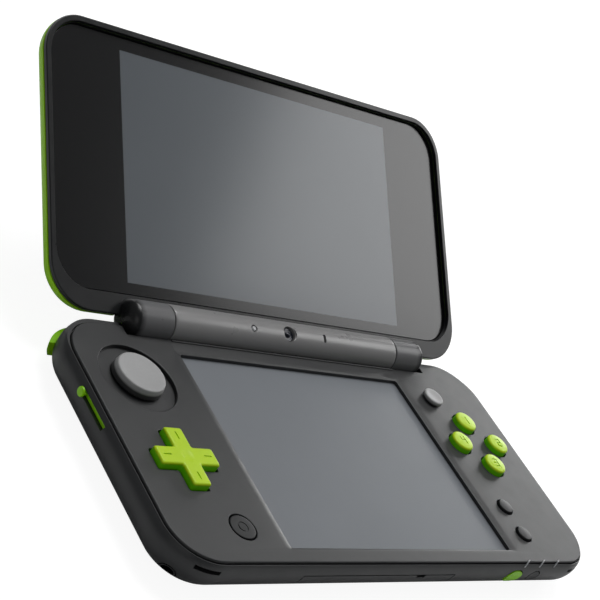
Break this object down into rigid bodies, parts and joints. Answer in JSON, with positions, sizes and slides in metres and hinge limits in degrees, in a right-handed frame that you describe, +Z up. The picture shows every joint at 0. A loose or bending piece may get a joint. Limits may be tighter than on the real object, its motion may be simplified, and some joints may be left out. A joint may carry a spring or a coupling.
{
  "type": "clamshell handheld game console",
  "caption": "Open two-screen clamshell handheld game console with a barrel hinge, sliding pad, cross pad, round buttons, shoulder buttons and a stowed stylus.",
  "frame": {"origin": "centre of the base's flat underside, midway between its front and back walls", "axes": "+X to the player's right along the hinge, +Y away from the player towards the hinge, +Z up out of the base's screen"},
  "size_m": [0.1607, 0.1474, 0.0572],
  "materials": {
    "shell_plastic": "fine matte grain",
    "cover_plastic": "fine matte grain",
    "frame_plastic": "fine matte grain",
    "barrel_plastic": "satin",
    "lid_green": "semi-gloss",
    "panel_black": "finely ridged matte",
    "button_green": "semi-gloss",
    "trim_green": "semi-gloss",
    "pad_grey": "soft matte",
    "button_dark": "satin",
    "screen_glass": "polished, black border round the picture area",
    "display_upper": "smooth",
    "touch_film": "smooth satin",
    "display_lower": "smooth",
    "board_green": "solder-masked",
    "battery_wrap": "printed film",
    "socket_steel": "pressed sheet",
    "jack_dark": "moulded",
    "speaker_dark": "moulded",
    "sheet_rubber": "matte",
    "light_clear": "clear, moulded",
    "mechanism_dark": "moulded",
    "bare_steel": "bright",
    "foot_rubber": "matte",
    "lens_glass": "polished",
    "mic_mesh": "fine mesh"
  },
  "bodies": {
    "base": {"bottom_shell": "shell_plastic", "top_cover": "cover_plastic", "touch_panel": "touch_film", "lower_lcd": "display_lower", "main_board": "board_green", "battery": "battery_wrap", "game_card_socket": "socket_steel", "memory_card_socket": "socket_steel", "charge_socket": "socket_steel", "headphone_socket": "jack_dark", "speaker_left": "speaker_dark", "speaker_right": "speaker_dark", "dome_sheet_left": "sheet_rubber", "dome_sheet_right": "sheet_rubber", "light_guide": "light_clear", "circle_pad_base": "mechanism_dark", "hinge_barrel": "barrel_plastic", "inner_camera": "lens_glass", "camera_light": "light_clear", "microphone": "mic_mesh", "hinge_pin_left": "bare_steel", "hinge_pin_right": "bare_steel", "case_screw_1": "bare_steel", "case_screw_2": "bare_steel", "case_screw_3": "bare_steel", "case_screw_4": "bare_steel", "foot_pad_1": "foot_rubber", "foot_pad_2": "foot_rubber", "foot_pad_3": "foot_rubber", "foot_pad_4": "foot_rubber"},
    "lid": {"lid_frame": "frame_plastic", "lid_glass": "screen_glass", "upper_lcd": "display_upper", "lid_shell": "lid_green", "lid_panel": "panel_black", "outer_camera_left": "lens_glass", "outer_camera_right": "lens_glass"},
    "card_door": {"card_door": "shell_plastic"},
    "circle_pad_carrier": {"circle_pad_carrier": "mechanism_dark"},
    "circle_pad": {"circle_pad_slide": "mechanism_dark", "circle_pad_cap": "pad_grey"},
    "cross_pad_ring": {"cross_pad_ring": "mechanism_dark"},
    "cross_pad": {"cross_pad": "button_green"},
    "stick_ring": {"stick_ring": "mechanism_dark"},
    "stick": {"stick_post": "bare_steel", "stick_cap": "pad_grey"},
    "face_button_1": {"face_button_1": "button_green"},
    "face_button_2": {"face_button_2": "button_green"},
    "face_button_3": {"face_button_3": "button_green"},
    "face_button_4": {"face_button_4": "button_green"},
    "start_button": {"start_button": "button_dark"},
    "select_button": {"select_button": "button_dark"},
    "home_button": {"home_button": "button_dark"},
    "power_button": {"power_button": "button_dark"},
    "volume_slider": {"volume_slider": "trim_green"},
    "shoulder_button_left": {"shoulder_button_left": "trim_green"},
    "shoulder_button_right": {"shoulder_button_right": "trim_green"},
    "trigger_button_left": {"trigger_button_left": "trim_green"},
    "trigger_button_right": {"trigger_button_right": "trim_green"},
    "stylus": {"stylus": "trim_green"}
  },
  "joints": [
    {"name": "lid_hinge", "type": "hinge", "parent": "base", "child": "lid", "pos_m": [0, 0.0399, 0.01257], "axis": [1, 0, 0], "range_deg": [0, 145.4]},
    {"name": "card_door_hinge", "type": "hinge", "parent": "base", "child": "card_door", "pos_m": [-0.011, -0.0367, 0.002], "axis": [1, 0, 0], "range_deg": [0, 80]},
    {"name": "circle_pad_x", "type": "slide", "parent": "base", "child": "circle_pad_carrier", "axis": [1, 0, 0], "range_m": [-0.0025, 0.0025], "stiffness_N_per_m": 60},
    {"name": "circle_pad_y", "type": "slide", "parent": "circle_pad_carrier", "child": "circle_pad", "axis": [0, 1, 0], "range_m": [-0.0025, 0.0025], "stiffness_N_per_m": 60},
    {"name": "cross_pad_rock_x", "type": "hinge", "parent": "base", "child": "cross_pad_ring", "pos_m": [-0.0622, -0.0081, 0.0087], "axis": [1, 0, 0], "range_deg": [-3, 3], "stiffness_Nm_per_rad": 0.02},
    {"name": "cross_pad_rock_y", "type": "hinge", "parent": "cross_pad_ring", "child": "cross_pad", "pos_m": [-0.0622, -0.0081, 0.0087], "axis": [0, 1, 0], "range_deg": [-3, 3], "stiffness_Nm_per_rad": 0.02},
    {"name": "stick_tilt_x", "type": "hinge", "parent": "base", "child": "stick_ring", "pos_m": [0.053, 0.0229, 0.00865], "axis": [1, 0, 0], "range_deg": [-3, 3], "stiffness_Nm_per_rad": 0.01},
    {"name": "stick_tilt_y", "type": "hinge", "parent": "stick_ring", "child": "stick", "pos_m": [0.053, 0.0229, 0.00865], "axis": [0, 1, 0], "range_deg": [-3, 3], "stiffness_Nm_per_rad": 0.01},
    {"name": "face_button_1_press", "type": "slide", "parent": "base", "child": "face_button_1", "axis": [0, 0, -1], "range_m": [0, 0.0008], "stiffness_N_per_m": 400},
    {"name": "face_button_2_press", "type": "slide", "parent": "base", "child": "face_button_2", "axis": [0, 0, -1], "range_m": [0, 0.0008], "stiffness_N_per_m": 400},
    {"name": "face_button_3_press", "type": "slide", "parent": "base", "child": "face_button_3", "axis": [0, 0, -1], "range_m": [0, 0.0008], "stiffness_N_per_m": 400},
    {"name": "face_button_4_press", "type": "slide", "parent": "base", "child": "face_button_4", "axis": [0, 0, -1], "range_m": [0, 0.0008], "stiffness_N_per_m": 400},
    {"name": "start_button_press", "type": "slide", "parent": "base", "child": "start_button", "axis": [0, 0, -1], "range_m": [0, 0.0008], "stiffness_N_per_m": 400},
    {"name": "select_button_press", "type": "slide", "parent": "base", "child": "select_button", "axis": [0, 0, -1], "range_m": [0, 0.0008], "stiffness_N_per_m": 400},
    {"name": "home_button_press", "type": "slide", "parent": "base", "child": "home_button", "axis": [0, 0, -1], "range_m": [0, 0.0008], "stiffness_N_per_m": 400},
    {"name": "power_button_press", "type": "slide", "parent": "base", "child": "power_button", "axis": [0, 1, 0], "range_m": [0, 0.0005], "stiffness_N_per_m": 600},
    {"name": "volume_slide", "type": "slide", "parent": "base", "child": "volume_slider", "axis": [0, -1, 0], "range_m": [0, 0.01]},
    {"name": "shoulder_button_left_press", "type": "hinge", "parent": "base", "child": "shoulder_button_left", "pos_m": [-0.077, 0.0342, 0.0055], "axis": [0, 0, -1], "range_deg": [0, 3], "stiffness_Nm_per_rad": 0.12},
    {"name": "shoulder_button_right_press", "type": "hinge", "parent": "base", "child": "shoulder_button_right", "pos_m": [0.077, 0.0342, 0.0055], "axis": [0, 0, 1], "range_deg": [0, 3], "stiffness_Nm_per_rad": 0.12},
    {"name": "trigger_button_left_press", "type": "slide", "parent": "base", "child": "trigger_button_left", "axis": [0, -1, 0], "range_m": [0, 0.0006], "stiffness_N_per_m": 500},
    {"name": "trigger_button_right_press", "type": "slide", "parent": "base", "child": "trigger_button_right", "axis": [0, -1, 0], "range_m": [0, 0.0006], "stiffness_N_per_m": 500},
    {"name": "stylus_pull", "type": "slide", "parent": "base", "child": "stylus", "axis": [0, -1, 0], "range_m": [0, 0.06]}
  ]
}
